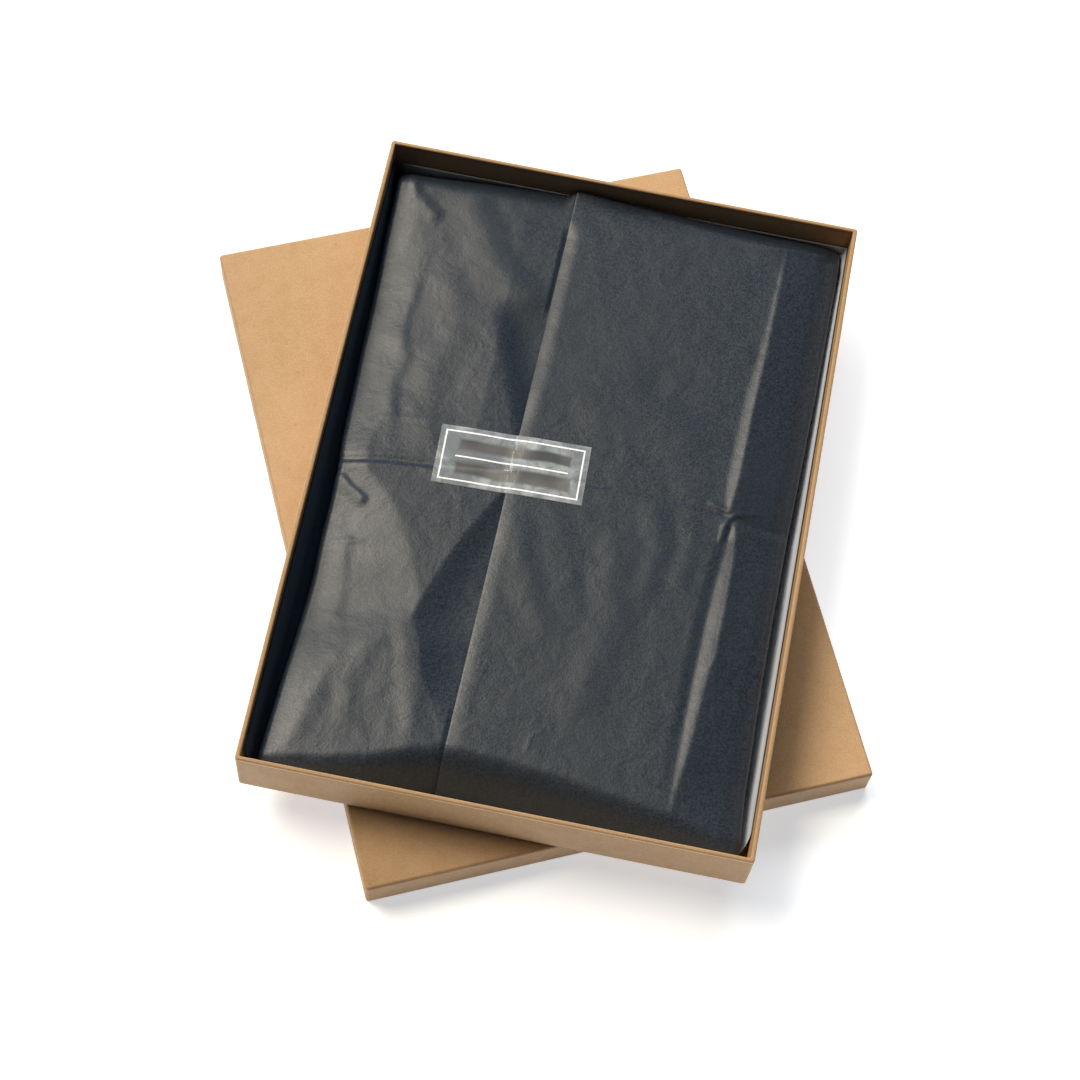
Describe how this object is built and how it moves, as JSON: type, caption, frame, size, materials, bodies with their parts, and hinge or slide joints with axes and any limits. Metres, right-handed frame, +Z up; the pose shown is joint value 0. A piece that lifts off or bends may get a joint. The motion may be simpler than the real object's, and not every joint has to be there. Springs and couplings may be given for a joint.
{
  "type": "gift box",
  "caption": "Open rigid kraft gift box: a shallow tray crossed on its own upturned lid, holding a flat parcel in black tissue paper closed with a clear film seal.",
  "frame": {"origin": "centre of the lid's outline, on the surface that the lid's rim stands on", "axes": "+X across the tray, +Y along the tray towards its far end, +Z up; the lid under the tray is turned 25 degrees about +Z"},
  "size_m": [0.3362, 0.3796, 0.05],
  "materials": {
    "kraft_paper": "matt uncoated kraft with fine fibres",
    "greyboard": "raw grey millboard",
    "stay_tape": "gummed paper tape",
    "white_paper": "smooth matt white",
    "tissue": "thin soft black tissue, slightly glazed on its creases",
    "garment": "plain soft knit",
    "clear_film": "clear glossy self-adhesive film"
  },
  "bodies": {
    "lid": {"lid_panel_board": "greyboard", "lid_wall_board_far": "greyboard", "lid_wall_board_near": "greyboard", "lid_wall_board_left": "greyboard", "lid_wall_board_right": "greyboard", "lid_corner_stay_near_left": "stay_tape", "lid_corner_stay_near_right": "stay_tape", "lid_corner_stay_far_left": "stay_tape", "lid_corner_stay_far_right": "stay_tape", "lid_outer_wrap": "kraft_paper", "lid_turn_in_far": "kraft_paper", "lid_turn_in_near": "kraft_paper", "lid_turn_in_left": "kraft_paper", "lid_turn_in_right": "kraft_paper", "lid_inner_liner": "kraft_paper"},
    "tray": {"tray_panel_board": "greyboard", "tray_wall_board_far": "greyboard", "tray_wall_board_near": "greyboard", "tray_wall_board_left": "greyboard", "tray_wall_board_right": "greyboard", "tray_corner_stay_near_left": "stay_tape", "tray_corner_stay_near_right": "stay_tape", "tray_corner_stay_far_left": "stay_tape", "tray_corner_stay_far_right": "stay_tape", "tray_outer_wrap": "kraft_paper", "tray_turn_in_far": "kraft_paper", "tray_turn_in_near": "kraft_paper", "tray_turn_in_left": "kraft_paper", "tray_turn_in_right": "kraft_paper", "tray_inner_liner": "kraft_paper"},
    "under_sheet": {"under_sheet": "white_paper"},
    "parcel": {"folded_contents": "garment", "tissue_base": "tissue"},
    "left_flap": {"tissue_left_flap": "tissue"},
    "right_flap": {"tissue_right_flap": "tissue", "seal_sticker": "clear_film"}
  },
  "joints": [
    {"name": "tray_lift", "type": "slide", "parent": "lid", "child": "tray", "axis": [0, 0, 1], "range_m": [0, 0.15]},
    {"name": "under_sheet_lift", "type": "slide", "parent": "tray", "child": "under_sheet", "axis": [0, 0, 1], "range_m": [0, 0.08]},
    {"name": "parcel_lift", "type": "slide", "parent": "under_sheet", "child": "parcel", "axis": [0, 0, 1], "range_m": [0, 0.08]},
    {"name": "right_flap_open", "type": "hinge", "parent": "parcel", "child": "right_flap", "pos_m": [0.1023, -0.0003, 0.044], "axis": [0, 1, 0], "range_deg": [0, 135]},
    {"name": "left_flap_open", "type": "hinge", "parent": "parcel", "child": "left_flap", "pos_m": [-0.0797, -0.0003, 0.0433], "axis": [0, 1, 0], "range_deg": [-70, 0]}
  ],
  "couplings": [
    {"joint": "left_flap_open", "follows": "right_flap_open", "ratio": -0.5}
  ]
}
